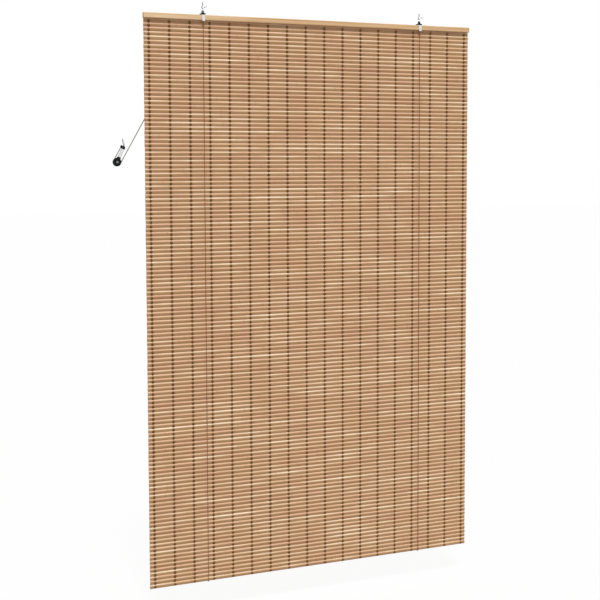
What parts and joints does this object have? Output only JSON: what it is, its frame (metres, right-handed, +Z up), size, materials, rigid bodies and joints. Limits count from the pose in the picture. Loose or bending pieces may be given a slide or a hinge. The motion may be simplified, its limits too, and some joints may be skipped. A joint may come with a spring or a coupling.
{
  "type": "bamboo roll-up blind",
  "caption": "Woven bamboo slat blind on a wooden head rail, hung from screw hooks, with lift cords over pulleys to a side cord tensioner.",
  "frame": {"origin": "midway between the two hook shanks, in the plane of the ceiling that the hooks are screwed into", "axes": "+X along the head rail, towards the right as seen from the room; -Y towards the room; +Z up, out of the hook points"},
  "size_m": [1.519, 0.0381, 2.2495],
  "materials": {
    "bamboo": "smooth split bamboo with an oiled sheen",
    "batten_wood": "planed pale wood with a light lacquer",
    "bead_wood": "turned and lacquered",
    "weaving_thread": "twisted cotton thread",
    "lift_cord": "braided cotton cord",
    "pull_cord": "braided pale cord",
    "chrome": "bright chrome plate",
    "steel": "zinc plated",
    "black_metal": "black lacquer",
    "black_plastic": "moulded black plastic"
  },
  "bodies": {
    "blind": {"slat_mat": "bamboo", "warp_threads": "weaving_thread", "front_batten": "batten_wood", "rear_batten": "batten_wood", "clamp_screws": "steel", "saddle_left": "chrome", "saddle_right": "chrome", "lug_left": "black_metal", "lug_right": "black_metal", "lug_screws_left": "steel", "lug_screws_right": "steel", "hanging_ring_left": "chrome", "hanging_ring_right": "chrome", "screw_hook_left": "steel", "screw_hook_right": "steel", "pulley_axle_left": "steel", "pulley_axle_right": "steel", "pulley_washer_left": "steel", "pulley_washer_right": "steel", "cord_knot_left": "lift_cord", "cord_knot_right": "lift_cord", "lift_cord_left": "lift_cord", "lift_cord_right": "lift_cord", "cord_joiner": "bead_wood", "pull_cord": "pull_cord", "tensioner_fork": "black_metal", "tensioner_body": "chrome", "tensioner_axle": "chrome", "tensioner_cap": "black_metal", "tensioner_screw": "steel"},
    "left_pulley": {"pulley_left": "black_plastic"},
    "right_pulley": {"pulley_right": "black_plastic"},
    "tension_wheel": {"tensioner_wheel": "black_plastic"}
  },
  "joints": [
    {"name": "pulley_left_spin", "type": "hinge", "parent": "blind", "child": "left_pulley", "pos_m": [-0.467, 0.0182, -0.051], "axis": [0, 1, 0], "continuous": true},
    {"name": "pulley_right_spin", "type": "hinge", "parent": "blind", "child": "right_pulley", "pos_m": [0.467, 0.0182, -0.051], "axis": [0, 1, 0], "continuous": true},
    {"name": "tensioner_spin", "type": "hinge", "parent": "blind", "child": "tension_wheel", "pos_m": [-0.803, 0.0182, -0.593], "axis": [0, 1, 0], "continuous": true}
  ],
  "couplings": [
    {"joint": "pulley_right_spin", "follows": "pulley_left_spin", "ratio": 1}
  ]
}
